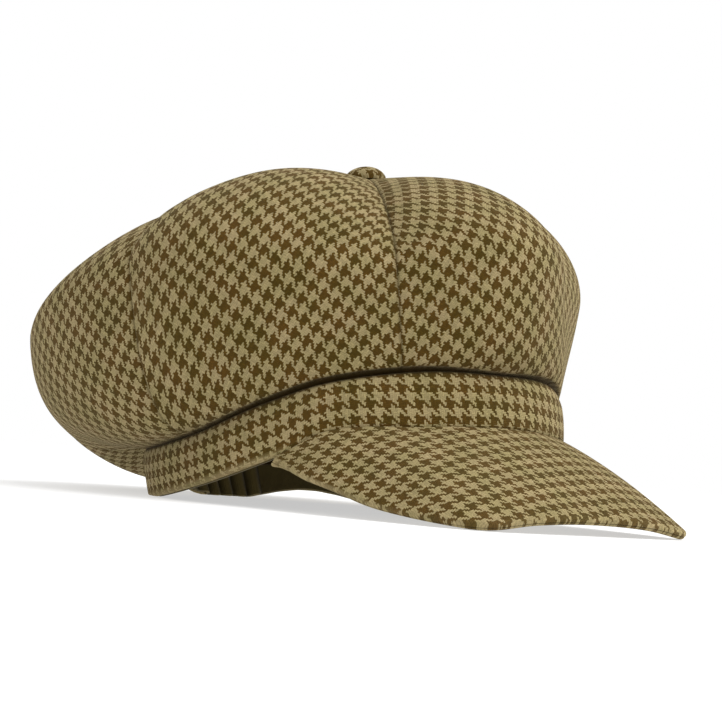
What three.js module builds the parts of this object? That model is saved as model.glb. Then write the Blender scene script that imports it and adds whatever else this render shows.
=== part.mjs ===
// Baker boy cap in a small houndstooth tweed, at rest on a flat surface.
// Millimetres, +Z up. The front of the cap points to -Y and the wearer's left is +X.
// Every piece is drawn with the rim of the cap level. The whole cap is then pitched nose up,
// to where it rests on the back and the sides of its rim and on the two wings of its peak.

import * as THREE from 'three';

// Driving sizes: the head that the cap fits, and the layers of cloth around it
const HEAD_LENGTH = 199;
const HEAD_WIDTH = 167;
const TAPE_WALL = 1.2;
const BAND_WALL = 2.8;
const CROWN_WALL = 2;
const GAP = 0.3;

// How it rests: the pitch of the rim, and how far the cloth under it is pressed flat
const NOSE_UP = THREE.MathUtils.degToRad(12.4);
const PRESSED_FLAT = 2;

// The band. Each row is an angle from the front, and the heights of the band's lower and upper edges there:
// it is short over the peak and hangs down over the ears. The elastic draws the back of its lower edge in.
const BAND_SECTIONS = [
  { angle: 0, rim: -1.5, top: 22 },
  { angle: 25, rim: -1.4, top: 22.5 },
  { angle: 50, rim: 0, top: 20.5 },
  { angle: 64, rim: -7.8, top: 16.5 },
  { angle: 90, rim: -13, top: 9.5 },
  { angle: 120, rim: -9.4, top: 12.5 },
  { angle: 150, rim: 4, top: 22 },
  { angle: 180, rim: 0, top: 23 },
];
const BAND_BULGE = 0.6;
const BACK_TUCK = 5;
const TUCK_STARTS = THREE.MathUtils.degToRad(105);
const TUCK_ENDS = THREE.MathUtils.degToRad(150);

// The crown's lines from the band to the top. Each row is an angle from the front: how far the cloth stands
// out past the band there, the height of that widest place, how far the cloth droops over the band on its
// way out, and how full the lower fold, the shoulder and the flat of the top are, as shares of the way to
// the next point.
const CROWN_SECTIONS = [
  { angle: 0, overhang: 16, widest: 70, droop: 1.5, fold: 0.45, shoulder: 0.36, flatness: 0.22 },
  { angle: 45, overhang: 4.8, widest: 65.5, droop: 1, fold: 0.51, shoulder: 0.45, flatness: 0.3 },
  { angle: 90, overhang: 28, widest: 81, droop: 5.3, fold: 0.68, shoulder: 0.63, flatness: 0.3 },
  { angle: 135, overhang: 50.4, widest: 68.3, droop: -2.8, fold: 0.7, shoulder: 0.33, flatness: 0.17 },
  { angle: 180, overhang: 51, widest: 47, droop: 24.5, fold: 0.95, shoulder: 0.58, flatness: 0.44 },
];
const UNDERSIDE_RISE = 0.62;
const APEX_FORWARD = 22.7;
const APEX_HEIGHT = 127;
const CREASE_GAP = 0.8;
const CREASE_INSET = 0.5;

// The six gores, and how far each swells out between its seams
const GORES = [
  { name: 'front', puff: 8.7 },
  { name: 'front_left', puff: 14 },
  { name: 'back_left', puff: 1.1 },
  { name: 'back', puff: 5 },
  { name: 'back_right', puff: 1.1 },
  { name: 'front_right', puff: 14 },
];
const PUFF_ACROSS = 0.9;
const PUFF_ALONG = 2.2;
const GORE_ENDS = 0.975;

// The peak, symmetric about the front. Each row is an angle from the front, how far the edge reaches
// out from the band there, and how far it drops below the rim.
const PEAK_SECTIONS = [
  { angle: 0, reach: 49, drop: 44.2 },
  { angle: 16, reach: 54.5, drop: 45.3 },
  { angle: 32, reach: 60.5, drop: 47.3 },
  { angle: 46, reach: 36, drop: 36.1 },
  { angle: 58, reach: 16, drop: 15.6 },
  { angle: 64, reach: 3, drop: 0.3 },
];
const PEAK_WALL = 4.5;
const PEAK_ARCH = 2.7;
const PEAK_FANS_OUT = 0.42;
const PEAK_SEAM_INSET = 1;

// The button on top, and the gathered elastic inside the back of the band
const BUTTON_DIAMETER = 19;
const BUTTON_HEIGHT = 7.5;
const BUTTON_EDGE = 2;
const ELASTIC_HALF_ANGLE = THREE.MathUtils.degToRad(14);
const ELASTIC_RIBS = 5;
const ELASTIC_RIB_DEPTH = 3;
const ELASTIC_UP_BAND = 0.75;
const TAPE_UP_BAND = 0.9;
const TAPE_END_GAP = THREE.MathUtils.degToRad(1);

// Mesh steps
const GORE_COLUMNS = 12;
const GORE_ROWS = 18;
const GORE_ROW_CROWDING = 1.3;
const BAND_COLUMNS = 84;
const BAND_ROWS = 3;
const PEAK_COLUMNS = 28;
const PEAK_ROWS = 6;
const RIB_COLUMNS = 6;
const ELASTIC_ROWS = 2;
const TAPE_COLUMNS = 68;
const BUTTON_SIDES = 20;
const BUTTON_STEPS = 3;

// Colours of the tweed and of the tape inside
const TWEED = { color: 0x786844, roughness: 0.95 };
const DARK_TAPE = { color: 0x594e28, roughness: 0.85 };

const UP = new THREE.Vector3(0, 0, 1);
const FORWARD = new THREE.Vector3(0, -1, 0);
const LAYERS = TAPE_WALL + GAP + BAND_WALL;
const BAND_LENGTH_RADIUS = HEAD_LENGTH / 2 + LAYERS;
const BAND_WIDTH_RADIUS = HEAD_WIDTH / 2 + LAYERS;
const APEX = new THREE.Vector3(0, -APEX_FORWARD, APEX_HEIGHT);
const GORE_HALF_ANGLE = Math.PI / GORES.length;

// A point on the oval of the band's outside, moved in by inset; angles run from the front to the left
function onOval(angle, inset, height) {
  const x = Math.sin(angle) * (BAND_WIDTH_RADIUS - inset);
  const y = -Math.cos(angle) * (BAND_LENGTH_RADIUS - inset);
  return new THREE.Vector3(x, y, height);
}

function outFromOval(angle) {
  const x = Math.sin(angle) / BAND_WIDTH_RADIUS;
  const y = -Math.cos(angle) / BAND_LENGTH_RADIUS;
  return new THREE.Vector3(x, y, 0).normalize();
}

function turnFromFront(angle) {
  return Math.abs(THREE.MathUtils.euclideanModulo(angle + Math.PI, 2 * Math.PI) - Math.PI);
}

// A size read off a table at any angle from the front, on a smooth curve through its rows. The curve is
// level at the front and at the back, because the cap is symmetric there.
function readTable(rows, angle, column) {
  const turned = THREE.MathUtils.radToDeg(turnFromFront(angle));
  const last = rows.length - 1;
  const slope = (index) => {
    if (rows[index].angle % 180 === 0) return 0;
    const from = rows[index - 1];
    const to = rows[Math.min(index + 1, last)];
    return (to[column] - from[column]) / (to.angle - from.angle);
  };
  const found = rows.findIndex((row) => row.angle > turned);
  const after = found < 0 ? last : found;
  const low = rows[after - 1];
  const high = rows[after];
  const span = high.angle - low.angle;
  const t = THREE.MathUtils.clamp((turned - low.angle) / span, 0, 1);
  const ease = t * t * (3 - 2 * t);
  const bend = (1 - t) * t * span * ((1 - t) * slope(after - 1) - t * slope(after));
  return THREE.MathUtils.lerp(low[column], high[column], ease) + bend;
}

function bandEdge(angle, edge) {
  return readTable(BAND_SECTIONS, angle, edge);
}

// How far the elastic draws the back of the rim in, which fades out up the band
function tuck(angle, wayUp) {
  const share = THREE.MathUtils.smoothstep(turnFromFront(angle), TUCK_STARTS, TUCK_ENDS);
  return BACK_TUCK * share * (1 - wayUp);
}

// A point of the band or of what lines it: depth is measured in from the band's outside, and the way up
// is a share of the band's height
function onBand(angle, depth, wayUp) {
  const bulge = BAND_BULGE * Math.sin(Math.PI * wayUp);
  const height = THREE.MathUtils.lerp(bandEdge(angle, 'rim'), bandEdge(angle, 'top'), wayUp);
  return onOval(angle, depth + tuck(angle, wayUp) - bulge, height);
}

// The surface under the cap, as it lies in the frame of the level rim
function floorHeight(y) {
  const back = BAND_LENGTH_RADIUS - BACK_TUCK;
  return PRESSED_FLAT - (back - y) * Math.tan(NOSE_UP);
}

function pressFlat(point) {
  point.z = Math.max(point.z, floorHeight(point.y));
  return point;
}

// Grids of points: columns run round the cap from its right to its left, rows run up
function makeGrid(columns, rows, pointAt) {
  const grid = [];
  for (let column = 0; column <= columns; column += 1) {
    const line = [];
    for (let row = 0; row <= rows; row += 1) {
      line.push(pointAt(column / columns, row / rows));
    }
    grid.push(line);
  }
  return grid;
}

function gridNormal(grid, column, row) {
  const last = grid.length - 1;
  const top = grid[0].length - 1;
  const left = grid[Math.max(column - 1, 0)][row];
  const right = grid[Math.min(column + 1, last)][row];
  const below = grid[column][Math.max(row - 1, 0)];
  const above = grid[column][Math.min(row + 1, top)];
  const across = new THREE.Vector3().subVectors(right, left);
  const up = new THREE.Vector3().subVectors(above, below);
  return across.cross(up).normalize();
}

function offsetGrid(grid, distanceAt) {
  return grid.map((line, column) => line.map((point, row) => {
    const distance = distanceAt(column / (grid.length - 1), row / (line.length - 1));
    return point.clone().addScaledVector(gridNormal(grid, column, row), distance);
  }));
}

// A closed wall between an outer and an inner grid. A ring's last column meets its first.
function makeWall(outside, inside, ring = false) {
  const columns = ring ? outside.length - 1 : outside.length;
  const rows = outside[0].length;
  const positions = [];
  const triangles = [];
  for (const grid of [outside, inside]) {
    for (const line of grid.slice(0, columns)) {
      line.forEach((point) => positions.push(point.x, point.y, point.z));
    }
  }
  const outer = (column, row) => (column % columns) * rows + row;
  const inner = (column, row) => columns * rows + outer(column, row);
  const quad = (a, b, c, d) => triangles.push(a, b, c, a, c, d);
  const spans = ring ? columns : columns - 1;
  for (let column = 0; column < spans; column += 1) {
    const next = column + 1;
    for (let row = 0; row < rows - 1; row += 1) {
      quad(outer(column, row), outer(next, row), outer(next, row + 1), outer(column, row + 1));
      quad(inner(column, row), inner(column, row + 1), inner(next, row + 1), inner(next, row));
    }
    quad(inner(column, 0), inner(next, 0), outer(next, 0), outer(column, 0));
    quad(outer(column, rows - 1), outer(next, rows - 1), inner(next, rows - 1), inner(column, rows - 1));
  }
  if (!ring) {
    const end = columns - 1;
    for (let row = 0; row < rows - 1; row += 1) {
      quad(inner(0, row), outer(0, row), outer(0, row + 1), inner(0, row + 1));
      quad(outer(end, row), inner(end, row), inner(end, row + 1), outer(end, row + 1));
    }
  }
  const geometry = new THREE.BufferGeometry();
  geometry.setAttribute('position', new THREE.Float32BufferAttribute(positions, 3));
  geometry.setIndex(triangles);
  geometry.computeVertexNormals();
  return geometry;
}

// The line up the crown in one direction: out over the band, up to the widest place, and in to the top
function meridian(angle) {
  const out = outFromOval(angle);
  const size = (column) => readTable(CROWN_SECTIONS, angle, column);
  const overhang = size('overhang');
  const seam = onOval(angle, CREASE_INSET, bandEdge(angle, 'top') + CREASE_GAP);
  const widest = seam.clone().addScaledVector(out, overhang).setZ(size('widest'));
  const fold = seam.clone().addScaledVector(out, overhang * size('fold'));
  fold.addScaledVector(UP, -size('droop'));
  const underside = widest.clone().addScaledVector(UP, (seam.z - widest.z) * UNDERSIDE_RISE);
  const shoulder = widest.clone().addScaledVector(UP, (APEX.z - widest.z) * size('shoulder'));
  const top = APEX.clone().lerp(widest.clone().setZ(APEX.z), size('flatness'));
  const line = new THREE.CurvePath();
  line.add(new THREE.CubicBezierCurve3(seam, fold, underside, widest));
  line.add(new THREE.CubicBezierCurve3(widest, shoulder, top, APEX));
  return line;
}

// One gore: it swells between its two seams, and its sides are drawn in to leave the seam
function makeGore(middleAngle, puff) {
  const lines = [];
  for (let column = 0; column <= GORE_COLUMNS; column += 1) {
    const side = (2 * column) / GORE_COLUMNS - 1;
    lines.push(meridian(middleAngle + side * GORE_HALF_ANGLE));
  }
  const wayUp = (row) => GORE_ENDS * row ** GORE_ROW_CROWDING;
  const plain = makeGrid(GORE_COLUMNS, GORE_ROWS, (across, row) => (
    lines[Math.round(across * GORE_COLUMNS)].getPoint(wayUp(row))
  ));
  const puffed = offsetGrid(plain, (across, row) => {
    const side = 2 * across - 1;
    const swell = Math.sin(Math.PI * wayUp(row)) ** PUFF_ALONG;
    return puff * swell * (1 - side * side) ** PUFF_ACROSS;
  });
  const middle = puffed[GORE_COLUMNS / 2];
  const outside = puffed.map((line, column) => line.map((point, row) => {
    const side = Math.abs((2 * column) / GORE_COLUMNS - 1);
    const inwards = new THREE.Vector3().subVectors(middle[row], point);
    return point.clone().add(inwards.setLength((side * GAP) / 2));
  }));
  return makeWall(outside, offsetGrid(outside, () => -CROWN_WALL));
}

// The band is cut to start where it meets the surface under it
function makeBand() {
  const wallAt = (depth) => makeGrid(BAND_COLUMNS, BAND_ROWS, (round, row) => {
    const angle = round * 2 * Math.PI;
    const rim = onBand(angle, depth, 0);
    const start = (pressFlat(rim.clone()).z - rim.z) / (bandEdge(angle, 'top') - rim.z);
    return pressFlat(onBand(angle, depth, THREE.MathUtils.lerp(start, 1, row)));
  });
  return makeWall(wallAt(0), wallAt(BAND_WALL), true);
}

// The dark tape inside the front and sides of the band
function makeSweatband() {
  const halfAngle = Math.PI - ELASTIC_HALF_ANGLE - TAPE_END_GAP;
  const wallAt = (depth) => makeGrid(TAPE_COLUMNS, 1, (round, row) => (
    pressFlat(onBand((2 * round - 1) * halfAngle, depth, row * TAPE_UP_BAND))
  ));
  const backOfTape = BAND_WALL + GAP;
  return makeWall(wallAt(backOfTape), wallAt(backOfTape + TAPE_WALL));
}

// The elastic inside the back of the band, whose cloth is gathered into upright ribs
function makeBackElastic() {
  const columns = ELASTIC_RIBS * RIB_COLUMNS;
  const rib = (round) => Math.sin(Math.PI * ELASTIC_RIBS * round) ** 2;
  const wallAt = (depth, ribDepth) => makeGrid(columns, ELASTIC_ROWS, (round, row) => {
    const angle = Math.PI + (2 * round - 1) * ELASTIC_HALF_ANGLE;
    return pressFlat(onBand(angle, depth + ribDepth * rib(round), row * ELASTIC_UP_BAND));
  });
  const backOfElastic = BAND_WALL + GAP;
  return makeWall(wallAt(backOfElastic, 0), wallAt(backOfElastic + TAPE_WALL, ELASTIC_RIB_DEPTH));
}

// The top face of the peak, its rows running from the edge up to the seam under the band
function peakTop() {
  const corner = PEAK_SECTIONS.at(-1).angle;
  const longest = PEAK_SECTIONS[0].reach;
  return makeGrid(PEAK_COLUMNS, PEAK_ROWS, (round, row) => {
    const angle = THREE.MathUtils.degToRad((2 * round - 1) * corner);
    const out = 1 - row;
    const reach = readTable(PEAK_SECTIONS, angle, 'reach');
    const drop = readTable(PEAK_SECTIONS, angle, 'drop');
    const direction = FORWARD.clone().lerp(outFromOval(angle), PEAK_FANS_OUT);
    const point = onOval(angle, PEAK_SEAM_INSET, bandEdge(angle, 'rim') - GAP);
    point.addScaledVector(direction, reach * out);
    point.z += 4 * PEAK_ARCH * out * row * (reach / longest) - drop * out;
    return point;
  });
}

function makePeakCover(top, bottom) {
  const face = peakTop();
  const upper = offsetGrid(face, () => -top);
  const lower = offsetGrid(face, () => -bottom);
  lower.forEach((line) => line.forEach(pressFlat));
  return makeWall(upper, lower);
}

// The covered button, a low dome that sits on the highest cloth under it
function makeButton(gores) {
  const radius = BUTTON_DIAMETER / 2;
  const profile = new THREE.Path();
  profile.moveTo(0, 0);
  profile.lineTo(radius - BUTTON_EDGE, 0);
  profile.lineTo(radius, BUTTON_EDGE);
  profile.absellipse(0, BUTTON_EDGE, radius, BUTTON_HEIGHT - BUTTON_EDGE, 0, Math.PI / 2);
  const geometry = new THREE.LatheGeometry(profile.getPoints(BUTTON_STEPS), BUTTON_SIDES);
  geometry.rotateX(Math.PI / 2);
  let seat = 0;
  for (const gore of gores) {
    const position = gore.getAttribute('position');
    for (let index = 0; index < position.count; index += 1) {
      const fromApex = Math.hypot(position.getX(index) - APEX.x, position.getY(index) - APEX.y);
      if (fromApex < radius) seat = Math.max(seat, position.getZ(index));
    }
  }
  geometry.translate(APEX.x, APEX.y, seat + GAP);
  return geometry;
}

function makePiece(name, geometry, finish) {
  const piece = new THREE.Mesh(geometry, new THREE.MeshStandardMaterial({ ...finish, metalness: 0 }));
  piece.name = name;
  return piece;
}

const cap = new THREE.Group();
const gores = GORES.map((row, index) => makeGore(2 * index * GORE_HALF_ANGLE, row.puff));
gores.forEach((gore, index) => cap.add(makePiece(`crown_panel_${GORES[index].name}`, gore, TWEED)));
cap.add(makePiece('top_button', makeButton(gores), TWEED));
cap.add(makePiece('band', makeBand(), TWEED));
cap.add(makePiece('sweatband', makeSweatband(), DARK_TAPE));
cap.add(makePiece('back_elastic', makeBackElastic(), DARK_TAPE));
const coverWall = (PEAK_WALL - GAP) / 2;
cap.add(makePiece('peak_upper', makePeakCover(0, coverWall), TWEED));
cap.add(makePiece('peak_lower', makePeakCover(coverWall + GAP, PEAK_WALL), TWEED));

// Pitch the cap to where it rests, with the middle of its underside at the origin
cap.rotation.x = -NOSE_UP;
cap.updateMatrixWorld(true);
const box = new THREE.Box3().setFromObject(cap, true);
const middle = box.getCenter(new THREE.Vector3());
cap.position.set(-middle.x, -middle.y, -box.min.z);

const part = new THREE.Group();
part.add(cap);

export default part;
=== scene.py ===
# %% [markdown]
# A baker boy cap in houndstooth tweed
#
# This lesson dresses a plain solid model of a soft cap. The model is the frame: it says where each
# piece is and how big it is. Each cell makes one piece of the cap, or one finish, in the order of a
# cap maker: first the cloth, then the crown, the band, the peak, the button and the tapes inside.

# %% Load the frame
import math

import bpy
import numpy as np
from mathutils import Matrix, Vector, noise


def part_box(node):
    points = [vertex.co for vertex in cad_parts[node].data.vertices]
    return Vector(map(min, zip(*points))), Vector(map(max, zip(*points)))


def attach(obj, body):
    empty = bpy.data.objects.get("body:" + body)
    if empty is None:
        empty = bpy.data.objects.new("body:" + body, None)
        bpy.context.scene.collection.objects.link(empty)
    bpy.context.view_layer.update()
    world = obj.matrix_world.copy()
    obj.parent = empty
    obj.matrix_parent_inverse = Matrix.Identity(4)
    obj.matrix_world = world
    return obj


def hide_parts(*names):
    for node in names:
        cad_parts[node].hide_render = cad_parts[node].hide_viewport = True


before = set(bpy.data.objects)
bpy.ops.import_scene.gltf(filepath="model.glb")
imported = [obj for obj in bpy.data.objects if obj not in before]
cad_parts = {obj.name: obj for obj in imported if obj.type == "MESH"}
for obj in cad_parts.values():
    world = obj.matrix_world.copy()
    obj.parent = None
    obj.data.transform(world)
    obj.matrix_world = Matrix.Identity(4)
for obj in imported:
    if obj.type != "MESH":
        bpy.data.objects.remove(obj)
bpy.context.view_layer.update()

# %% [markdown]
# Sizes
#
# A cap maker starts from the head. The sizes of the cap are in millimetres, and it is drawn with its
# rim level, the front towards -Y and the wearer's left towards +X. The whole cap is then tipped nose
# up, as it lies on a table: on the back and the sides of its rim and on the two wings of its peak.

# %% Sizes of the head, the band and the layers of cloth
MM = 0.001
HEAD_LENGTH = 199
HEAD_WIDTH = 167
TAPE_WALL = 1.2
BAND_WALL = 2.8
CROWN_WALL = 2
GAP = 0.3
NOSE_UP = math.radians(12.4)
PRESSED_FLAT = 2
BAND_SECTIONS = [
    {"angle": 0, "rim": -1.5, "top": 22, "crease": 0.7},
    {"angle": 25, "rim": -1.4, "top": 22.5, "crease": 2},
    {"angle": 50, "rim": 0, "top": 20.5, "crease": 2.2},
    {"angle": 64, "rim": -7.8, "top": 16.5, "crease": 1.8},
    {"angle": 90, "rim": -13, "top": 9.5, "crease": 0.9},
    {"angle": 120, "rim": -9.4, "top": 12.5, "crease": 0.4},
    {"angle": 150, "rim": 4, "top": 22, "crease": 0.4},
    {"angle": 180, "rim": 0, "top": 23, "crease": 0.4},
]
BAND_BULGE = 0.6
BACK_TUCK = 5
TUCK_STARTS = math.radians(105)
TUCK_ENDS = math.radians(150)
TAPE_UP_BAND = 0.9
BAND_LENGTH_RADIUS = HEAD_LENGTH / 2 + TAPE_WALL + GAP + BAND_WALL
BAND_WIDTH_RADIUS = HEAD_WIDTH / 2 + TAPE_WALL + GAP + BAND_WALL
print("the band is", 2 * BAND_LENGTH_RADIUS, "by", 2 * BAND_WIDTH_RADIUS, "mm")

# %% [markdown]
# Round the head
#
# A place on the cap is given by how far round it is from the front, how deep it lies under the outer
# face of the band, and how high it is. Some sizes change on the way round. Each of those is a short
# table by angle, with a smooth curve through its rows. A Blender curve could hold the same line, but
# a table is easier to read and to change.

# %% Places on the oval, and sizes from a table
def on_oval(angle, inset, height):
    """Points on the oval of the band, moved in by inset, at angles from the front to the wearer's left."""
    x = np.sin(angle) * (BAND_WIDTH_RADIUS - inset)
    y = -np.cos(angle) * (BAND_LENGTH_RADIUS - inset)
    return np.stack(np.broadcast_arrays(x, y, height), axis=-1).astype(float)


def out_from_oval(angle):
    """The level direction that points straight out of the band at each angle."""
    x = np.sin(angle) / BAND_WIDTH_RADIUS
    y = -np.cos(angle) / BAND_LENGTH_RADIUS
    out = np.stack(np.broadcast_arrays(x, y, 0.0), axis=-1)
    return out / np.linalg.norm(out, axis=-1, keepdims=True)


def turn_from_front(angle):
    """How far round from the front an angle is, on either side."""
    return np.abs(np.mod(angle + np.pi, 2 * np.pi) - np.pi)


def smooth_step(value, start, end):
    """A share that goes gently from 0 to 1 as value goes from start to end."""
    share = np.clip((value - start) / (end - start), 0, 1)
    return share * share * (3 - 2 * share)


def read_table(rows, angle, column):
    """A size at any angle from the front, on a smooth curve through the rows of a table."""
    at = np.array([row["angle"] for row in rows], float)
    size = np.array([row[column] for row in rows], float)
    last = len(rows) - 1
    before = np.maximum(np.arange(last + 1) - 1, 0)
    after = np.minimum(np.arange(last + 1) + 1, last)
    slope = np.where(at % 180 == 0, 0, (size[after] - size[before]) / (at[after] - at[before]))
    turned = np.degrees(turn_from_front(angle))
    high = np.clip(np.searchsorted(at, turned, side="right"), 1, last)
    low = high - 1
    span = at[high] - at[low]
    t = np.clip((turned - at[low]) / span, 0, 1)
    ease = t * t * (3 - 2 * t)
    bend = (1 - t) * t * span * ((1 - t) * slope[low] - t * slope[high])
    return size[low] + (size[high] - size[low]) * ease + bend


def band_edge(angle, edge):
    """The height of the band's rim or top, or of the crease over its top. The band hangs over the ears."""
    return read_table(BAND_SECTIONS, angle, edge)


def on_band(angle, depth, way_up):
    """Points of the band or of what lines it. The elastic at the back draws its lower edge in."""
    share = smooth_step(turn_from_front(angle), TUCK_STARTS, TUCK_ENDS)
    tuck = BACK_TUCK * share * (1 - way_up)
    bulge = BAND_BULGE * np.sin(np.pi * way_up)
    rim = band_edge(angle, "rim")
    return on_oval(angle, depth + tuck - bulge, rim + (band_edge(angle, "top") - rim) * way_up)


def press_flat(points):
    """Keeps points above the table, as it lies in the frame of the level rim."""
    back = BAND_LENGTH_RADIUS - BACK_TUCK
    table = PRESSED_FLAT - (back - points[..., 1]) * math.tan(NOSE_UP)
    pressed = points.copy()
    pressed[..., 2] = np.maximum(points[..., 2], table)
    return pressed


front_rim, side_rim = band_edge(np.array([0, np.pi / 2]), "rim")
print(f"the rim hangs {front_rim - side_rim:.1f} mm lower at the sides than in front")

# %% [markdown]
# Where the cap lies
#
# The frame is in metres, with the cap already tipped and set down. The front of the tape inside the
# band touches no table, so nothing presses it out of shape. Its lower edge is the front side of the
# tape's box and its upper edge is the top side, and the two show where the level drawing has gone.

# %% Tip the drawing and find its place in the frame
PITCH = np.array(Matrix.Rotation(-NOSE_UP, 3, "X"))
tape_low, tape_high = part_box("sweatband")
tape_bottom = on_band(0.0, BAND_WALL + GAP, 0) @ PITCH.T * MM
tape_top = on_band(0.0, BAND_WALL + GAP, TAPE_UP_BAND) @ PITCH.T * MM
PLACE = np.array([0, tape_low.y - tape_bottom[1], tape_high.z - tape_top[2]])


def set_down(points):
    """Level points in millimetres, tipped and placed in the frame in metres."""
    return points @ PITCH.T * MM + PLACE


print("the level drawing is set down at", PLACE.round(5))

# %% [markdown]
# Laying cloth on a shape
#
# The pieces of a cap start as flat cloth, so all but the button start here as Blender's flat grid.
# Each vertex of the grid is moved to its place on the sewn shape, and keeps its place on the flat cut
# as a UV, in metres. The weave follows that UV, so the checks run with the grain as they do on a real
# cap. A second value at each vertex is painted light: above zero a painted highlight along folded
# edges and on rib crests, below it painted shade in the crease, along the seams and between ribs. A
# cloth simulation would also bend the grid, but it would have to find the very shape that the pattern
# already gives.

# %% Lay a grid on a shape
MERGE_DISTANCE = 1e-6


def lay_grid(name, points, flat, painted_light=0, ring=False, tube=False):
    """A grid whose vertices lie on points, indexed by column and row, with flat as its UV map.

    It is first made 1 m wide about its middle, so that a vertex's place on it gives its column and row.
    A ring's last column meets its first, and a tube's last row meets its first.
    """
    columns, rows = points.shape[0] - 1, points.shape[1] - 1
    bpy.ops.object.select_all(action="DESELECT")
    bpy.ops.mesh.primitive_grid_add(x_subdivisions=columns, y_subdivisions=rows, size=1)
    piece = bpy.context.object
    piece.name = name
    mesh = piece.data
    mesh.name = name
    start = np.zeros(len(mesh.vertices) * 3)
    mesh.vertices.foreach_get("co", start)
    share = start.reshape(-1, 3) + 0.5
    column = np.rint(share[:, 0] * columns).astype(int)
    row = np.rint(share[:, 1] * rows).astype(int)
    mesh.vertices.foreach_set("co", set_down(points)[column, row].ravel())
    corner = np.zeros(len(mesh.loops), int)
    mesh.loops.foreach_get("vertex_index", corner)
    cloth = mesh.uv_layers[0]
    cloth.name = "cloth"
    cloth.uv.foreach_set("vector", (flat * MM)[column, row][corner].ravel())
    # This attribute holds painted light: painted highlight above zero, painted shade below it.
    tone = mesh.attributes.new("painted_light", "FLOAT", "POINT")
    tone.data.foreach_set("value", np.broadcast_to(painted_light, points.shape[:2])[column, row])
    mesh.update()
    if ring or tube:
        close_up(fill=not (ring and tube))
    return piece


def close_up(fill):
    """Merges the edges that meet, and fills the open ends of a tube."""
    bpy.ops.object.mode_set(mode="EDIT")
    bpy.ops.mesh.select_all(action="SELECT")
    bpy.ops.mesh.remove_doubles(threshold=MERGE_DISTANCE)
    if fill:
        bpy.ops.mesh.select_all(action="DESELECT")
        bpy.ops.mesh.select_non_manifold()
        bpy.ops.mesh.fill_holes(sides=0)
    bpy.ops.object.mode_set(mode="OBJECT")


print("edges that meet are merged within", MERGE_DISTANCE, "m")

# %% Give a sheet its thickness and its finish
SMOOTH_BELOW = math.radians(50)


def thicken(piece, wall):
    """Gives a sheet its thickness, inwards from the face that shows."""
    solidify = piece.modifiers.new("wall", "SOLIDIFY")
    solidify.thickness = wall * MM
    solidify.offset = -1
    solidify.use_even_offset = True
    bpy.context.view_layer.objects.active = piece
    bpy.ops.object.modifier_apply(modifier=solidify.name)


def finish_piece(piece, material, node):
    """Smooths a piece, dresses it, hangs it on the root and hides the solid that it stands for."""
    bpy.ops.object.select_all(action="DESELECT")
    piece.select_set(True)
    bpy.context.view_layer.objects.active = piece
    bpy.ops.object.shade_smooth_by_angle(angle=SMOOTH_BELOW)
    piece.data.materials.clear()
    piece.data.materials.append(material)
    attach(piece, "root")
    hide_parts(node)
    print(piece.name, "has", len(piece.data.polygons), "faces")


print("faces that meet at less than", round(math.degrees(SMOOTH_BELOW)), "degrees look smooth")

# %% Measure a grid of points, and make it uneven
NOISE_STEP = (7.3, 3.1, 5.7)


def step_lengths(points, axis):
    """How far along the cloth each point is from the first one on its line."""
    steps = np.linalg.norm(np.diff(points, axis=axis), axis=-1)
    first = np.zeros_like(np.take(steps, [0], axis=axis))
    return np.concatenate([first, np.cumsum(steps, axis=axis)], axis=axis)


def grid_normals(points):
    """The direction out of the cloth at each point of a grid."""
    across = np.gradient(points, axis=0)
    up = np.gradient(points, axis=1)
    normal = np.cross(across, up)
    return normal / np.linalg.norm(normal, axis=-1, keepdims=True)


def area_of(points):
    """The area of a grid of points."""
    across = np.diff(points[:, :-1], axis=0)
    up = np.diff(points[:-1], axis=1)
    return np.linalg.norm(np.cross(across, up), axis=-1).sum()


def unevenness(points, size, seed):
    """Soft random values from -1 to 1 over points, alike within a distance of size."""
    shift = Vector([seed * step for step in NOISE_STEP])
    values = [noise.noise(Vector(point) / size + shift) for point in points.reshape(-1, 3)]
    return np.array(values).reshape(points.shape[:-1])


print("cloth helpers are ready")

# %% [markdown]
# Writing shaders as sums
#
# A weave is arithmetic on thread numbers, and a page of loose Math nodes is hard to read. This small
# class holds one socket. An expression on it adds the Math nodes, and its node method adds any other
# node.

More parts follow.
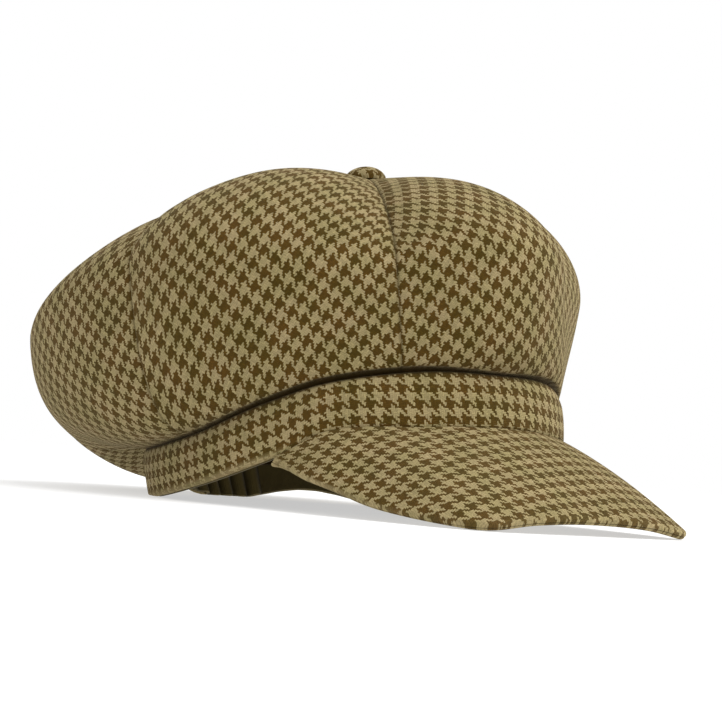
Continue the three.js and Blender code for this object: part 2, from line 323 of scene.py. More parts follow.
# %% A socket that can be added, multiplied and compared
class Shade:
    def __init__(self, tree, socket=None):
        self.tree = tree
        self.socket = socket

    def node(self, kind, settings=None, sockets=None, output=0):
        """Adds a node: its settings first, then the values or links of its sockets."""
        made = self.tree.nodes.new(kind)
        for name, value in (settings or {}).items():
            setattr(made, name, value)
        for name, value in (sockets or {}).items():
            if isinstance(value, Shade):
                self.tree.links.new(value.socket, made.inputs[name])
            else:
                made.inputs[name].default_value = value
        return Shade(self.tree, made.outputs[output])

    def output(self, name):
        """Another output of the node that this one comes from."""
        return Shade(self.tree, self.socket.node.outputs[name])

    def math(self, operation, *values):
        """Adds one Math node."""
        return self.node("ShaderNodeMath", {"operation": operation}, dict(enumerate(values)))

    def __add__(self, other):
        return self.math("ADD", self, other)

    def __radd__(self, other):
        return self.math("ADD", other, self)

    def __sub__(self, other):
        return self.math("SUBTRACT", self, other)

    def __rsub__(self, other):
        return self.math("SUBTRACT", other, self)

    def __mul__(self, other):
        return self.math("MULTIPLY", self, other)

    def __rmul__(self, other):
        return self.math("MULTIPLY", other, self)

    def __truediv__(self, other):
        return self.math("DIVIDE", self, other)

    def __mod__(self, other):
        return self.math("FLOORED_MODULO", self, other)

    def __lt__(self, other):
        return self.math("LESS_THAN", self, other)

    def floor(self):
        return self.math("FLOOR", self)

    def fraction(self):
        return self.math("FRACT", self)

    def blend(self, low, high):
        """A number that goes from low to high as this one goes from 0 to 1."""
        return low + (high - low) * self

    def tint(self, low, high):
        """A colour that goes from low to high as this one goes from 0 to 1."""
        return self.node("ShaderNodeMix", {"data_type": "RGBA"}, {0: self, 6: low, 7: high}, 2)

    def speckle(self, grain, output=0):
        """Soft random values over this place on the cloth."""
        sockets = {"Vector": self, **grain}
        return self.node("ShaderNodeTexNoise", {"noise_dimensions": "2D"}, sockets, output)

    def ridge(self):
        """A round ridge from each whole number to the next: 0 at both and 1 half way between them."""
        from_middle = self.fraction() - 0.5
        return 1 - 4 * from_middle * from_middle


print("shaders can be written as sums")

# %% Start a finish
def new_finish(name):
    """An empty node material, its shader node and a Shade to draw with."""
    material = bpy.data.materials.new(name)
    material.use_nodes = True
    return material, material.node_tree.nodes["Principled BSDF"], Shade(material.node_tree)


def set_surface(shader, values):
    """Sets the sockets that are the same all over a finish."""
    for name, value in values.items():
        shader.inputs[name].default_value = value


print("shader helpers are ready")

# %% [markdown]
# Houndstooth tweed
#
# Houndstooth is a twill: threads go over two and under two, one step along in each row. Four dark
# threads and four light ones take turns in both directions, and that alone makes the broken checks.
# So the shader numbers the threads, asks which of the two lies on top, and takes its colour. A
# picture of the pattern would be quicker, but it would blur close up and could not tell one thread
# from the next. Each thread is painted darker towards its edges, as painted shade between threads.
# Under painted highlight the dark threads turn pale, and under painted shade the light threads turn
# dark and all of it darkens. The sizes of both finishes are in metres, as the UV is.

# %% Threads and colours of the tweed
THREAD = 0.00083
DARK_WOOL = (0.062, 0.038, 0.004, 1)
RUST_WOOL = (0.084, 0.043, 0.006, 1)
TAN_WOOL = (0.330, 0.258, 0.130, 1)
OLIVE_WOOL = (0.290, 0.236, 0.106, 1)
THREADS_IN_STRIPE = 4
TWILL = 4
WAVER = 1.7 * THREAD
WAVER_GRAIN = {"Scale": 520, "Detail": 4, "Roughness": 0.7}
FIBRE_GRAIN = {"Scale": 2600, "Detail": 3, "Roughness": 0.65}
PATCH_GRAIN = {"Scale": 70, "Detail": 3, "Roughness": 0.6}
PATCH_ENDS = (0.35, 0.68)
MIDDLE_COLOUR = (0.5, 0.5, 0.5)
THREAD_SHADES = (0.86, 1.1)
PAINTED_THREAD_EDGE_SHADE = (0.72, 1.08)
FIBRE_SHADES = (0.72, 1.28)
PAINTED_HIGHLIGHT_PALER = 0.6
PAINTED_SHADE_DARKER = 0.6
THREAD_RELIEF = 0.7
FIBRE_RELIEF = 0.6
TWEED_BUMP = {"Strength": 0.55, "Distance": 0.0004}
TWEED_ROUGHNESS = (0.86, 1.0)
TWEED_SURFACE = {
    "Specular IOR Level": 0.1,
    "Sheen Weight": 0.14,
    "Sheen Roughness": 0.45,
    "Sheen Tint": (0.8, 0.68, 0.42, 1),
}
print("houndstooth repeats every", 2 * THREADS_IN_STRIPE * THREAD * 1000, "mm")

# %% The tweed of the crown, band, peak and button
def weave_tweed():
    material, shader, draw = new_finish("houndstooth_tweed")
    link = material.node_tree.links.new
    cloth = draw.node("ShaderNodeUVMap", {"uv_map": "cloth"})
    waver = cloth.speckle(WAVER_GRAIN, "Color")
    centred = draw.node("ShaderNodeVectorMath", {"operation": "SUBTRACT"}, {0: waver, 1: MIDDLE_COLOUR})
    moved = draw.node(
        "ShaderNodeVectorMath",
        {"operation": "MULTIPLY_ADD"},
        {0: centred, 1: (WAVER, WAVER, 0), 2: cloth},
    )
    place = draw.node("ShaderNodeSeparateXYZ", None, {0: moved})
    across = place / THREAD
    along = place.output("Y") / THREAD

    warp = across.floor()
    weft = along.floor()
    repeat = 2 * THREADS_IN_STRIPE
    warp_is_dark = (warp % repeat) < THREADS_IN_STRIPE
    weft_is_dark = (weft % repeat) < THREADS_IN_STRIPE
    warp_on_top = ((warp + weft) % TWILL) < TWILL / 2
    painted_light = draw.node("ShaderNodeAttribute", {"attribute_name": "painted_light"}, None, "Fac")
    # The attribute gives painted highlight above zero and painted shade below it: painted highlight pales
    # the dark threads, painted shade turns the light threads dark.
    painted_highlight = draw.math("MAXIMUM", painted_light, 0)
    painted_shade = draw.math("MAXIMUM", 0 - painted_light, 0)
    dark = (warp_on_top * warp_is_dark + (1 - warp_on_top) * weft_is_dark) * (1 - PAINTED_HIGHLIGHT_PALER * painted_highlight)
    dark = draw.math("MAXIMUM", dark, painted_shade)

    thread_round = warp_on_top * across.ridge() + (1 - warp_on_top) * along.ridge()
    thread_number = warp_on_top * warp + (1 - warp_on_top) * (weft + 0.5)
    own_shade = draw.node("ShaderNodeTexWhiteNoise", {"noise_dimensions": "1D"}, {"W": thread_number})
    fibre = cloth.speckle(FIBRE_GRAIN)
    patch = cloth.speckle(PATCH_GRAIN)
    patchy = draw.node(
        "ShaderNodeMapRange", None, {"Value": patch, "From Min": PATCH_ENDS[0], "From Max": PATCH_ENDS[1]}
    )

    dark_colour = patchy.tint(DARK_WOOL, RUST_WOOL)
    light_colour = patchy.tint(OLIVE_WOOL, TAN_WOOL)
    colour = dark.tint(light_colour, dark_colour)
    # Each thread is painted darker towards its edges, as painted shade between threads; the rest is each
    # thread's own tone and the fibres' tone.
    light = own_shade.blend(*THREAD_SHADES) * thread_round.blend(*PAINTED_THREAD_EDGE_SHADE)
    light = light * fibre.blend(*FIBRE_SHADES)
    # Painted shade also darkens the whole colour.
    light = light * (1 - PAINTED_SHADE_DARKER * painted_shade)
    lit = draw.node("ShaderNodeVectorMath", {"operation": "SCALE"}, {0: colour, "Scale": light})
    relief = thread_round * THREAD_RELIEF + fibre * FIBRE_RELIEF
    bump = draw.node("ShaderNodeBump", None, {**TWEED_BUMP, "Height": relief})
    link(lit.socket, shader.inputs["Base Color"])
    link(bump.socket, shader.inputs["Normal"])
    link(fibre.blend(*TWEED_ROUGHNESS).socket, shader.inputs["Roughness"])
    set_surface(shader, TWEED_SURFACE)
    return material


TWEED = weave_tweed()
print(TWEED.name, "has", len(TWEED.node_tree.nodes), "nodes")

# %% [markdown]
# Dark tape
#
# The tape and the elastic inside the rim are plain cotton in a dark olive. Close up, such tape has
# fine cross ribs, so the shader raises a rib for each thread, darkens the colour between the ribs as
# painted shade, and lets the colour wander a little.

# %% The tape and the elastic inside the rim
TAPE_RIB = 0.0007
TAPE_DARK = (0.062, 0.046, 0.012, 1)
TAPE_WORN_AND_LIT = (0.140, 0.106, 0.030, 1)
WEAR_GRAIN = {"Scale": 160, "Detail": 4}
LINT_GRAIN = {"Scale": 3000, "Detail": 2}
WEAR_TINTS = 0.6
RIB_PAINTED_SHADE = 0.2
LINT_TINTS = 0.2
LINT_RELIEF = 0.3
TAPE_BUMP = {"Strength": 0.5, "Distance": 0.0003}
TAPE_ROUGHNESS = (0.75, 0.95)
TAPE_SURFACE = {"Specular IOR Level": 0.25, "Sheen Weight": 0.1}


def weave_tape():
    material, shader, draw = new_finish("dark_tape")
    link = material.node_tree.links.new
    cloth = draw.node("ShaderNodeUVMap", {"uv_map": "cloth"})
    place = draw.node("ShaderNodeSeparateXYZ", None, {0: cloth})
    rib = (place / TAPE_RIB).ridge()
    tone = cloth.speckle(WEAR_GRAIN)
    lint = cloth.speckle(LINT_GRAIN)
    painted_light = draw.node("ShaderNodeAttribute", {"attribute_name": "painted_light"}, None, "Fac")
    # Paler with random wear and lint, and with painted light: painted shade between the fine ribs, and the
    # painted highlight and shade on the elastic's ribs.
    paler = tone * WEAR_TINTS + rib * RIB_PAINTED_SHADE + lint * LINT_TINTS + painted_light
    colour = paler.tint(TAPE_DARK, TAPE_WORN_AND_LIT)
    bump = draw.node("ShaderNodeBump", None, {**TAPE_BUMP, "Height": rib + LINT_RELIEF * lint})
    link(colour.socket, shader.inputs["Base Color"])
    link(bump.socket, shader.inputs["Normal"])
    link(tone.blend(*TAPE_ROUGHNESS).socket, shader.inputs["Roughness"])
    set_surface(shader, TAPE_SURFACE)
    return material


TAPE = weave_tape()
print("tape ribs are", TAPE_RIB * 1000, "mm apart")

# %% [markdown]
# The crown
#
# The crown is six gores, each a long leaf of cloth that is widest half way up. Their edges are sewn
# together from the band to the button. A line drawn up the crown goes out over the band, round the
# widest place and in to the top: two Bezier curves whose handles come from a short table, one row for
# each direction. Below them a third, short curve tucks the cloth down behind the top of the band,
# where it is sewn, and leaves the dark crease that runs round the cap. Between two seams the cloth
# swells, and at each seam it rolls under.

# %% Sizes of the crown
CROWN_SECTIONS = [
    {"angle": 0, "overhang": 16, "widest": 70, "droop": 1.5,
     "fold": 0.45, "shoulder": 0.36, "flatness": 0.22},
    {"angle": 45, "overhang": 4.8, "widest": 65.5, "droop": 1,
     "fold": 0.51, "shoulder": 0.45, "flatness": 0.3},
    {"angle": 90, "overhang": 28, "widest": 81, "droop": 5.3,
     "fold": 0.68, "shoulder": 0.63, "flatness": 0.3},
    {"angle": 135, "overhang": 50.4, "widest": 68.3, "droop": -2.8,
     "fold": 0.7, "shoulder": 0.33, "flatness": 0.17},
    {"angle": 180, "overhang": 51, "widest": 47, "droop": 24.5,
     "fold": 0.95, "shoulder": 0.58, "flatness": 0.44},
]
UNDERSIDE_RISE = 0.62
APEX = np.array([0, -22.7, 127])
PUFF_ACROSS = 0.9
PUFF_ALONG = 2.2
CREASE_INSET = 0.5
CREASE_BEND = 2.5
TUCKED_IN = 6
TUCKED_DOWN = 6
TUCK_ROWS = 10
GORES = [
    {"name": "front", "puff": 8.7, "bias": 30},
    {"name": "front_left", "puff": 14, "bias": 45},
    {"name": "back_left", "puff": 1.1, "bias": 45},
    {"name": "back", "puff": 5, "bias": 45},
    {"name": "back_right", "puff": 1.1, "bias": 45},
    {"name": "front_right", "puff": 14, "bias": 45},
]
GORE_HALF_ANGLE = np.pi / len(GORES)
print("the crown has", len(GORES), "gores")

# %% Lines up the crown
CURVE_STEPS = 120


def bezier(handles, steps):
    """Points along one Bezier curve for each row of its four handles."""
    a, b, c, d = (handle[:, None, :] for handle in handles)
    t = np.linspace(0, 1, steps)[None, :, None]
    return (1 - t) ** 3 * a + 3 * (1 - t) ** 2 * t * b + 3 * (1 - t) * t**2 * c + t**3 * d


def raised(points, height):
    """The same points at another height."""
    moved = points.copy()
    moved[:, 2] = height
    return moved


def crown_lines(angle, way_up):
    """Lines up the crown at each angle: rows tucked behind the band, then shares of the way up."""
    out = out_from_oval(angle)
    size = {name: read_table(CROWN_SECTIONS, angle, name) for name in CROWN_SECTIONS[0]}
    band_top = band_edge(angle, "top")
    seam = on_oval(angle, CREASE_INSET, band_top + band_edge(angle, "crease"))
    seam_height = seam[:, 2]
    widest = raised(seam + out * size["overhang"][:, None], size["widest"])
    fold = raised(seam + out * (size["overhang"] * size["fold"])[:, None], seam_height - size["droop"])
    underside = raised(widest, size["widest"] + (seam_height - size["widest"]) * UNDERSIDE_RISE)
    shoulder = raised(widest, size["widest"] + (APEX[2] - size["widest"]) * size["shoulder"])
    apex = np.broadcast_to(APEX, widest.shape)
    top = apex + (raised(widest, APEX[2]) - apex) * size["flatness"][:, None]
    leaving = (fold - seam) / np.linalg.norm(fold - seam, axis=-1, keepdims=True)
    tucked = on_oval(angle, TUCKED_IN, band_top - TUCKED_DOWN)
    behind = raised(tucked, seam_height)
    tuck = bezier((tucked, behind, seam - leaving * CREASE_BEND, seam), TUCK_ROWS + 1)
    lower = bezier((seam, fold, underside, widest), CURVE_STEPS)
    upper = bezier((widest, shoulder, top, apex), CURVE_STEPS)
    lines = np.concatenate([lower, upper[:, 1:]], axis=1)
    lengths = step_lengths(lines, axis=1)
    read = [
        np.stack([np.interp(way_up * length[-1], length, line[:, axis]) for axis in range(3)], axis=-1)
        for line, length in zip(lines, lengths)
    ]
    return np.concatenate([tuck[:, :-1], np.array(read)], axis=1)


front_line = crown_lines(np.array([0.0]), np.linspace(0, 1, CURVE_STEPS))
print(f"the front of the crown is {step_lengths(front_line, axis=1).max():.0f} mm long with its tuck")

# %% [markdown]
# One gore
#
# The grid is denser at the seams, where the cloth rolls under in a couple of millimetres, and near
# the band. Two gores lap a little at their seam, so that no light comes through it. Small ripples
# next to each seam are the pull of its stitches, and slow random swells keep the six gores from
# looking cast. The crease over the band and a thin line along each seam are painted darker, as
# painted shade. The flat cut is measured off the sewn shape: across from the gore's middle line, and
# along it. The gores are cut on the bias, so that the checks climb the crown cornerwise and the cloth
# can stretch round, and each takes another place on the cloth.

# %% Shape and cut one gore
GORE_COLUMNS = 56
GORE_ROWS = 150
GORE_ROW_CROWDING = 1.15
GORE_ENDS = 0.975
SEAM_CROWDING = 0.35
SEAM_LAP = 0.1
SEAM_ROLL = 2
SEAM_ROLL_SHARE = 0.25
SEAM_DEPTH = 0.4
NO_LENGTH = 1e-9
PUCKER = 0.3
PUCKER_LENGTH = 8.5
PUCKER_REACH = 7
PUCKER_WANDER = 3
PUCKER_SEED = 10
SWELL = 1.1
SWELL_SIZE = 42
CREASE_SHADE_ENDS = (-4, 1.8)
SEAM_SHADE_ENDS = (0.4, 0.9)
SEAM_SHADE_DARKNESS = 0.4
CUT_SHIFT = (17.1, 23.3)


def turn_flat(flat, angle):
    """A flat cut, turned on the cloth that it is cut from."""
    turn = np.array([[math.cos(angle), -math.sin(angle)], [math.sin(angle), math.cos(angle)]])
    return flat @ turn.T


def shape_gore(middle, full, bias, seed):
    """The sewn shape of one gore, its flat cut, its painted shade and the width, length and area of the
    cut.
    """
    spread = np.linspace(-1, 1, GORE_COLUMNS + 1)
    side = spread * (1 + SEAM_CROWDING * (1 - spread**2))
    way_up = GORE_ENDS * np.linspace(0, 1, GORE_ROWS + 1) ** GORE_ROW_CROWDING
    plain = crown_lines(middle + side * GORE_HALF_ANGLE, way_up)
    swell = np.concatenate([np.zeros(TUCK_ROWS), np.sin(np.pi * way_up) ** PUFF_ALONG])
    puff = full * swell * ((1 - side**2) ** PUFF_ACROSS)[:, None]
    puff = puff + SWELL * swell * (1 - side**2)[:, None] * unevenness(plain, SWELL_SIZE, seed)
    shape = plain + grid_normals(plain) * puff[..., None]

    centre = GORE_COLUMNS // 2
    inwards = shape[centre] - shape
    inwards = inwards / np.maximum(np.linalg.norm(inwards, axis=-1, keepdims=True), NO_LENGTH)
    shape = shape - inwards * (np.abs(side) * SEAM_LAP / 2)[:, None, None]

    across = step_lengths(shape, axis=0)
    along = step_lengths(shape, axis=1)
    from_seam = np.minimum(across, across[-1] - across)
    roll = np.minimum(SEAM_ROLL, across[-1] * SEAM_ROLL_SHARE)
    rolled = np.clip(1 - from_seam / roll, 0, 1)
    depth = SEAM_DEPTH * roll / SEAM_ROLL * (1 - np.sqrt(1 - rolled**2))
    wander = PUCKER_WANDER * unevenness(shape, SWELL_SIZE, seed + PUCKER_SEED)
    ripple = np.sin(2 * np.pi * along / PUCKER_LENGTH + wander)
    pucker = PUCKER * ripple * np.exp(-from_seam / PUCKER_REACH) * (1 - rolled) * swell
    shape = shape + grid_normals(shape) * pucker[..., None] - grid_normals(plain) * depth[..., None]

    flat = np.stack([across - across[centre], np.broadcast_to(along[centre], across.shape)], axis=-1)
    width = across[-1].max()
    length = along[centre, -1]
    cut = turn_flat(flat, bias) + np.array(CUT_SHIFT) * seed
    # Painted shade: darkest in the crease behind the band and fading out above it, and a thin darker line
    # along each seam.
    crease_shade = 1 - smooth_step(along - along[:, TUCK_ROWS:TUCK_ROWS + 1], *CREASE_SHADE_ENDS)
    seam_shade = SEAM_SHADE_DARKNESS * smooth_step(rolled, *SEAM_SHADE_ENDS)
    painted_light = -np.maximum(crease_shade, seam_shade)
    return shape, cut, painted_light, (width, length, area_of(shape))


print("the grid of a gore is", GORE_COLUMNS, "by", TUCK_ROWS + GORE_ROWS, "faces")

# %% Lay the six gores
for index, row in enumerate(GORES):
    middle = 2 * index * GORE_HALF_ANGLE
    bias = math.radians(row["bias"])
    points, cut, painted_light, (width, length, area) = shape_gore(middle, row["puff"], bias, index)
    gore = lay_grid(f"tweed_gore_{row['name']}", points, cut, painted_light)
    thicken(gore, CROWN_WALL)
    finish_piece(gore, TWEED, f"crown_panel_{row['name']}")
    width * MM
    length * MM
    area * MM * MM
    print(f"  cut {width:.0f} by {length:.0f} mm on the bias")

# %% [markdown]
# The band
#
# The band is a strip folded double, so both its edges are round folds. Its section is drawn once, up
# the outside, over the top, down the inside and round the hem, and is carried round the oval of the
# head as one closed tube. At the back the elastic gathers it a little, and the table presses its hem
# flat. Its hem has a painted highlight where no peak covers it, and its top fold has painted shade.

# %% The folded band
BAND_COLUMNS = 360
BAND_FACE_STEPS = 12
BAND_FOLD_STEPS = 8
GATHER = 0.7
GATHERS_ROUND = 54
GATHERS_VARY = 3
GATHERS_WANDER = 2
BAND_SWELL = 0.35
BAND_SWELL_SIZE = 24
BAND_SEED = 20
HEM_SHARE = 0.06
HEM_HIGHLIGHT_ENDS = (0.04, 0.1)
HEM_SHOWS = (math.radians(58), math.radians(66))
TOP_ROLL_SHARE = 0.13
TOP_FOLD_SHADE_ENDS = (0.94, 1)
BAND_LEAN = 1.0
LEAN_STARTS = 0.7


def band_section():
    """Depth and way up round the section of the band, from the hem up the outside and back to the hem."""
    radius = BAND_WALL / 2
    low, high = HEM_SHARE, 1 - TOP_ROLL_SHARE
    turn = np.linspace(0, np.pi, BAND_FOLD_STEPS + 1)[1:-1]
    straight = np.linspace(low, high, BAND_FACE_STEPS + 1)
    outside = [(0, way_up) for way_up in straight]
    top = [(radius - radius * math.cos(t), high + TOP_ROLL_SHARE * math.sin(t)) for t in turn]
    inside = [(BAND_WALL, way_up) for way_up in straight[::-1]]
    hem = [(radius + radius * math.cos(t), low - HEM_SHARE * math.sin(t)) for t in turn]
    return np.array(outside + top + inside + hem + outside[:1])


def shape_band():
    """The sewn shape of the band, its flat strip and how worn it is."""
    depth, way_up = band_section().T
    depth = depth + BAND_LEAN * smooth_step(way_up, LEAN_STARTS, 1)
    angle = np.linspace(-np.pi, np.pi, BAND_COLUMNS + 1)[:, None]
    round_it = step_lengths(on_oval(angle[:, 0], 0, 0.0), axis=0)[:, None]
    gathered = smooth_step(turn_from_front(angle), TUCK_STARTS, TUCK_ENDS) * (1 - way_up)
    wave = np.sin(GATHERS_ROUND * angle + GATHERS_WANDER * np.sin(GATHERS_VARY * angle))
    points = on_band(angle, depth + GATHER * gathered * (wave - 1) / 2, way_up)
    swell = BAND_SWELL * unevenness(points, BAND_SWELL_SIZE, BAND_SEED)
    points = points + out_from_oval(angle) * swell[..., None]
    flat = np.stack(np.broadcast_arrays(round_it, step_lengths(points, axis=1)), axis=-1)
    # Painted highlight along the hem where no peak covers it, and painted shade on the top fold by the
    # crease.
    hem_highlight = smooth_step(turn_from_front(angle), *HEM_SHOWS) * (1 - smooth_step(way_up, *HEM_HIGHLIGHT_ENDS))
    painted_light = hem_highlight - smooth_step(way_up, *TOP_FOLD_SHADE_ENDS)
    return press_flat(points), flat, painted_light


points, cut, painted_light = shape_band()
band = lay_grid("tweed_band", points, cut, painted_light, ring=True, tube=True)
finish_piece(band, TWEED, "band")
band_round, strip_width = cut[..., 0].max(), cut[:, -1, 1].mean()
band_round * MM
strip_width / 2 * MM
print(f"  strip {band_round:.0f} by {strip_width:.0f} mm, folded double")

# %% [markdown]
# The peak
#
# A peak is a board between two covers that meet in a seam along its edge. The board doesn't show, so
# here the covers are thick enough to fill its place. Each is drawn as a thin closed tube: out along
# its lower face, round at the edge and back along its upper face. The cloth is cut almost straight,
# with its checks a little askew. A peak bends one way only, like rolled paper, so its flat cut comes
# from unrolling it. Its seam goes up into the hem of the band, and its edge has a painted highlight,
# strongest on the wings.

# %% Shape of the peak
PEAK_SECTIONS = [
    {"angle": 0, "reach": 49, "drop": 44.2},
    {"angle": 16, "reach": 54.5, "drop": 45.3},
    {"angle": 32, "reach": 60.5, "drop": 47.3},
    {"angle": 46, "reach": 36, "drop": 36.1},
    {"angle": 58, "reach": 16, "drop": 15.6},
    {"angle": 64, "reach": 3, "drop": 0.3},
]
PEAK_ARCH = 2.7
PEAK_FANS_OUT = 0.42
PEAK_SEAM_INSET = 1
PEAK_COLUMNS = 120
PEAK_ROWS = 44
PEAK_EDGE_CROWDING = 1.6
PEAK_TUCK = 1.2
PEAK_CORNER = math.radians(PEAK_SECTIONS[-1]["angle"])
peak_angle = np.linspace(-PEAK_CORNER, PEAK_CORNER, PEAK_COLUMNS + 1)[:, None]


def peak_top():
    """The top face of the peak, its rows running from the edge up to the seam under the band."""
    row = np.linspace(0, 1, PEAK_ROWS + 1)[None, :] ** PEAK_EDGE_CROWDING
    out = 1 - row
    reach = read_table(PEAK_SECTIONS, peak_angle, "reach")
    drop = read_table(PEAK_SECTIONS, peak_angle, "drop")
    forward = np.array([0, -1.0, 0])
    direction = forward + (out_from_oval(peak_angle) - forward) * PEAK_FANS_OUT
    seam = on_oval(peak_angle, PEAK_SEAM_INSET, band_edge(peak_angle, "rim") - GAP)
    points = seam + direction * (reach * out)[..., None]
    arch = 4 * PEAK_ARCH * out * row * (reach / PEAK_SECTIONS[0]["reach"])
    points[..., 2] += arch - drop * out + PEAK_TUCK * row**2
    return points


def unroll(points):
    """The flat cut of a face that bends one way: along its straight lines, and across them."""
    centre = points.shape[0] // 2
    straight = points[centre, -1] - points[centre, 0]
    straight = straight / np.linalg.norm(straight)
    along = points @ straight
    across = step_lengths(points - along[..., None] * straight, axis=0)
    return np.stack([across - across[centre], along], axis=-1)


front_row = PEAK_SECTIONS[0]
print("at the front the peak reaches out", front_row["reach"], "mm and drops", front_row["drop"], "mm")

# %% The two covers of the peak
PEAK_WALL = 4.5
COVER_WALL = (PEAK_WALL - GAP) / 2
PEAK_GRAIN = math.radians(-10)
PEAK_EDGE_HIGHLIGHT = (1, 2.6)
PEAK_WINGS_HIGHLIGHT = (math.radians(38), math.radians(54))
PEAK_FRONT_HIGHLIGHT = 0.15


def close_round(under, over):
    """Rows from the seam out along the under face, round the edge and back along the over face."""
    return np.concatenate([under[:, ::-1], over[:, 1:], under[:, -1:]], axis=1)


def shape_cover(top_depth, bottom_depth, rolls_down):
    """The shape of a cover between two depths below the peak's top, its cut, its painted highlight and
    that top.
    """
    face = peak_top()
    normals = grid_normals(face)
    from_edge = step_lengths(face, axis=1)
    rolled = np.clip(1 - from_edge / COVER_WALL, 0, 1)
    roll = COVER_WALL * (1 - np.sqrt(1 - rolled**2))
    top = face - normals * (top_depth + roll * rolls_down)[..., None]
    bottom = press_flat(face - normals * (bottom_depth - roll * (not rolls_down))[..., None])
    flat = turn_flat(unroll(face), PEAK_GRAIN)
    # Painted highlight along the edge of the peak, strongest on the wings.
    wings = smooth_step(turn_from_front(peak_angle), *PEAK_WINGS_HIGHLIGHT)
    painted_light = np.maximum(wings, PEAK_FRONT_HIGHLIGHT) * (1 - smooth_step(from_edge, *PEAK_EDGE_HIGHLIGHT))
    return close_round(bottom, top), close_round(flat, flat), close_round(painted_light, painted_light), face


COVERS = [
    {"name": "upper", "top": 0, "bottom": COVER_WALL, "rolls_down": True},
    {"name": "lower", "top": COVER_WALL + GAP, "bottom": PEAK_WALL, "rolls_down": False},
]
for cover in COVERS:
    points, cut, painted_light, face = shape_cover(cover["top"], cover["bottom"], cover["rolls_down"])
    piece = lay_grid(f"tweed_peak_{cover['name']}", points, cut, painted_light, tube=True)
    finish_piece(piece, TWEED, f"peak_{cover['name']}")
    width, length = np.ptp(unroll(face), axis=(0, 1))
    width * MM
    length * MM
    print(f"  cut {width:.0f} by {length:.0f} mm")

# %% [markdown]
# The button
#
# A covered button is a dome with a round of cloth pulled over it and gathered underneath. A sphere is
# cut flat below, squashed to the dome's height, and rippled towards its lower edge, where the cloth
# is gathered. The UV spreads the cloth out flat again.

# %% The covered button on top
BUTTON_DIAMETER = 19
BUTTON_HEIGHT = 7.5
BUTTON_SEGMENTS = 56
BUTTON_RINGS = 32
BUTTON_CUT_BELOW = 0.25
BUTTON_PLEATS = 14
BUTTON_PLEAT_DEPTH = 0.25
PLEATS_END = 0.6
CLOTH_SPREAD = 0.4


def make_button():
    """The button, tipped with the cap, with the round of cloth that covers it as its UV map."""
    low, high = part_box("top_button")
    radius = BUTTON_DIAMETER / 2 * MM
    middle = (low + high) / 2
    tip = Matrix.Rotation(-NOSE_UP, 3, "X")
    up = tip @ Vector((0, 0, 1))
    base = middle - up * BUTTON_HEIGHT / 2 * MM
    bpy.ops.object.select_all(action="DESELECT")
    bpy.ops.mesh.primitive_uv_sphere_add(segments=BUTTON_SEGMENTS, ring_count=BUTTON_RINGS, radius=radius)
    button = bpy.context.object
    button.name = "tweed_button"
    button.data.name = button.name
    bpy.ops.object.mode_set(mode="EDIT")
    bpy.ops.mesh.select_all(action="SELECT")
    bpy.ops.mesh.bisect(
        plane_co=(0, 0, -BUTTON_CUT_BELOW * radius), plane_no=(0, 0, 1), clear_inner=True, use_fill=True
    )
    bpy.ops.object.mode_set(mode="OBJECT")
    cut = []
    for vertex in button.data.vertices:
        level = vertex.co.z / radius
        angle = math.atan2(vertex.co.y, vertex.co.x)
        pleat = BUTTON_PLEAT_DEPTH * MM * math.sin(BUTTON_PLEATS * angle) * max(0, PLEATS_END - level)
        out = Vector((vertex.co.x, vertex.co.y, 0))
        spread = 1 + CLOTH_SPREAD * (1 - level)
        cut.append((out.x * spread, out.y * spread))
        share = (level + BUTTON_CUT_BELOW) / (1 + BUTTON_CUT_BELOW)
        out = out + out.normalized() * pleat
        vertex.co = base + tip @ Vector((out.x, out.y, BUTTON_HEIGHT * MM * share))
    cloth = button.data.uv_layers[0]
    cloth.name = "cloth"
    for loop in button.data.loops:
        cloth.uv[loop.index].vector = cut[loop.vertex_index]
    return button


button = make_button()
finish_piece(button, TWEED, "top_button")
print(f"  {BUTTON_DIAMETER} mm across and {BUTTON_HEIGHT} mm high")

# %% [markdown]
# Inside the rim
#
# A dark tape lines the front and the sides of the band, and a gathered elastic lines its back. Both
# are narrow sheets. The elastic's cloth is drawn up into upright ribs, which is what shows under the
# rim. The ribs have a painted highlight on their crests and painted shade between them.

# %% The sweatband and the gathered elastic
ELASTIC_HALF_ANGLE = math.radians(14)
ELASTIC_RIBS = 5
ELASTIC_RIB_DEPTH = 3
ELASTIC_UP_BAND = 0.75
CREST_HIGHLIGHT = 0.5
VALLEY_PAINTED_SHADE = 0.9
TAPE_END_GAP = math.radians(0.2)
TAPE_COLUMNS = 200
TAPE_ROWS = 12
RIB_COLUMNS = 12
BACK_OF_TAPE = BAND_WALL + GAP


def strip_flat(points):
    """The flat cut of a strip: round along its lowest row, and up."""
    round_it = step_lengths(points[:, :1], axis=0)
    up = step_lengths(points[:1], axis=1)
    return np.stack(np.broadcast_arrays(round_it, up), axis=-1)


def shape_tape():
    half = np.pi - ELASTIC_HALF_ANGLE - TAPE_END_GAP
    angle = np.linspace(-half, half, TAPE_COLUMNS + 1)[:, None]
    way_up = TAPE_UP_BAND * np.linspace(0, 1, TAPE_ROWS + 1)
    return press_flat(on_band(angle, BACK_OF_TAPE, way_up))


def shape_elastic():
    """The gathered elastic, and the painted highlight and shade on its ribs."""
    columns = ELASTIC_RIBS * RIB_COLUMNS
    share = np.linspace(0, 1, columns + 1)[:, None]
    angle = np.pi + (2 * share - 1) * ELASTIC_HALF_ANGLE
    way_up = ELASTIC_UP_BAND * np.linspace(0, 1, TAPE_ROWS + 1)
    rib = np.sin(np.pi * ELASTIC_RIBS * share) ** 2
    points = press_flat(on_band(angle, BACK_OF_TAPE + ELASTIC_RIB_DEPTH * rib, way_up))
    # Painted highlight on each rib's crest and painted shade in the valleys between ribs.
    return points, CREST_HIGHLIGHT * rib - VALLEY_PAINTED_SHADE * (1 - rib)


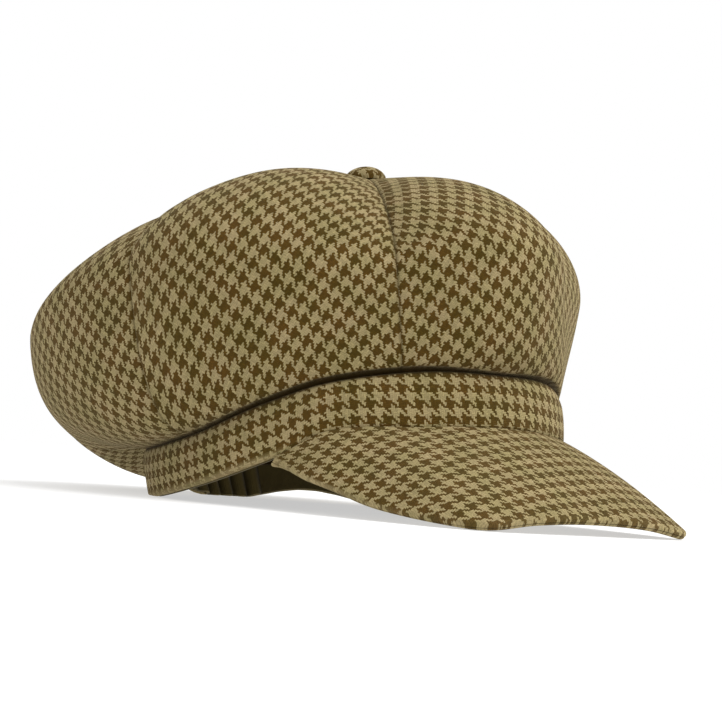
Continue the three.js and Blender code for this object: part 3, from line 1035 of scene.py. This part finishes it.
tape = shape_tape()
elastic, rib_highlight_and_shade = shape_elastic()
STRIPS = [
    {"node": "sweatband", "points": tape, "painted_light": 0, "held": "laid"},
    {"node": "back_elastic", "points": elastic, "painted_light": rib_highlight_and_shade, "held": "gathered"},
]
for strip in STRIPS:
    cut = strip_flat(strip["points"])
    piece = lay_grid(f"tape_{strip['node']}", strip["points"], cut, strip["painted_light"])
    thicken(piece, TAPE_WALL)
    finish_piece(piece, TAPE, strip["node"])
    width, length = cut[-1, -1]
    width * MM
    length * MM
    print(f"  cut {width:.0f} by {length:.0f} mm")

# %% [markdown]
# The table
#
# The cap lies on a white light table, as in a catalogue. A plain white plane would catch a hard grey
# shadow and show its edge. The table's own glow keeps the shadow pale, and its far part fades into
# the white room. Its sizes, and those of the light and the camera, are in metres.

# %% The white table
TABLE_SIZE = 12
TABLE_BELOW = 0.0003
TABLE_FADE = (0.7, 2.2)
TABLE_SURFACE = {
    "Base Color": (0.5, 0.5, 0.5, 1),
    "Roughness": 0.9,
    "Specular IOR Level": 0,
    "Emission Color": (1, 1, 1, 1),
    "Emission Strength": 0.55,
}


def paint_table():
    material, shader, draw = new_finish("white_table")
    link = material.node_tree.links.new
    place = draw.node("ShaderNodeTexCoord", None, None, "Object")
    distance = draw.node("ShaderNodeVectorMath", {"operation": "LENGTH"}, {0: place}, "Value")
    far = draw.node(
        "ShaderNodeMapRange",
        {"interpolation_type": "SMOOTHSTEP"},
        {"Value": distance, "From Min": TABLE_FADE[0], "From Max": TABLE_FADE[1]},
    )
    link((1 - far).socket, shader.inputs["Alpha"])
    set_surface(shader, TABLE_SURFACE)
    return material


bpy.ops.object.select_all(action="DESELECT")
bpy.ops.mesh.primitive_plane_add(size=TABLE_SIZE, location=(0, 0, 0))
table = bpy.context.object
table.name = "white_table"
table.data.materials.append(paint_table())
table.data.transform(Matrix.Translation((0, 0, -TABLE_BELOW)))
print("the table is", TABLE_SIZE, "m wide")

# %% [markdown]
# The light
#
# One broad light high in front of the cap, a little to the wearer's left, shows the gores as round.
# An area lamp would do, but a sun with a wide angle gives the same softness all over. The white room
# lights the rest, and looks pure white to the camera.

# %% The soft light
ROOM_LIGHT = 0.8
KEY_LIGHT = 2.6
KEY_ANGLE = math.radians(60)
KEY_FROM = (0.35, -0.65, 1.05)


def light_room():
    world = bpy.data.worlds.new("white_room")
    bpy.context.scene.world = world
    world.use_nodes = True
    draw = Shade(world.node_tree)
    seen = draw.node("ShaderNodeLightPath", None, None, "Is Camera Ray")
    background = world.node_tree.nodes["Background"]
    background.inputs["Color"].default_value = (1, 1, 1, 1)
    world.node_tree.links.new(seen.blend(ROOM_LIGHT, 1.0).socket, background.inputs["Strength"])


light_room()
bpy.ops.object.light_add(type="SUN", location=KEY_FROM)
key = bpy.context.object
key.name = "soft_key"
key.data.energy = KEY_LIGHT
key.data.angle = KEY_ANGLE
key.rotation_mode = "QUATERNION"
key.rotation_quaternion = Vector(KEY_FROM).to_track_quat("Z", "Y")
bpy.context.scene.view_settings.view_transform = "Standard"
print("room light", ROOM_LIGHT, "and key light", KEY_LIGHT)

# %% [markdown]
# The camera
#
# The camera looks from in front of the wearer's right, almost level with the cap and a little rolled.
# A long lens from a metre away keeps the peak from looking too big.

# %% The camera, low and in front of the wearer's right
CAMERA_TURN = math.radians(-39.1)
CAMERA_LIFT = math.radians(-2.2)
CAMERA_ROLL = math.radians(4.25)
CAMERA_DISTANCE = 1.0
CAMERA_LENS = 110.5
CAMERA_NEAR = 0.01
AIM_FROM_RIM = Vector((0, -0.0017, 0.0477))

aim = Vector(PLACE) + AIM_FROM_RIM
back = Vector((
    math.sin(CAMERA_TURN) * math.cos(CAMERA_LIFT),
    -math.cos(CAMERA_TURN) * math.cos(CAMERA_LIFT),
    math.sin(CAMERA_LIFT),
))
right = Vector((math.cos(CAMERA_TURN), math.sin(CAMERA_TURN), 0))
up = back.cross(right)
rolled_right = right * math.cos(CAMERA_ROLL) + up * math.sin(CAMERA_ROLL)
rolled_up = up * math.cos(CAMERA_ROLL) - right * math.sin(CAMERA_ROLL)
bpy.ops.object.camera_add(location=aim + back * CAMERA_DISTANCE)
camera = bpy.context.object
camera.name = "camera"
camera.rotation_mode = "QUATERNION"
camera.rotation_quaternion = Matrix((rolled_right, rolled_up, back)).transposed().to_quaternion()
camera.data.lens = CAMERA_LENS
camera.data.clip_start = CAMERA_NEAR
bpy.context.scene.camera = camera
print("the camera is", round(camera.location.z * 1000), "mm above the table")
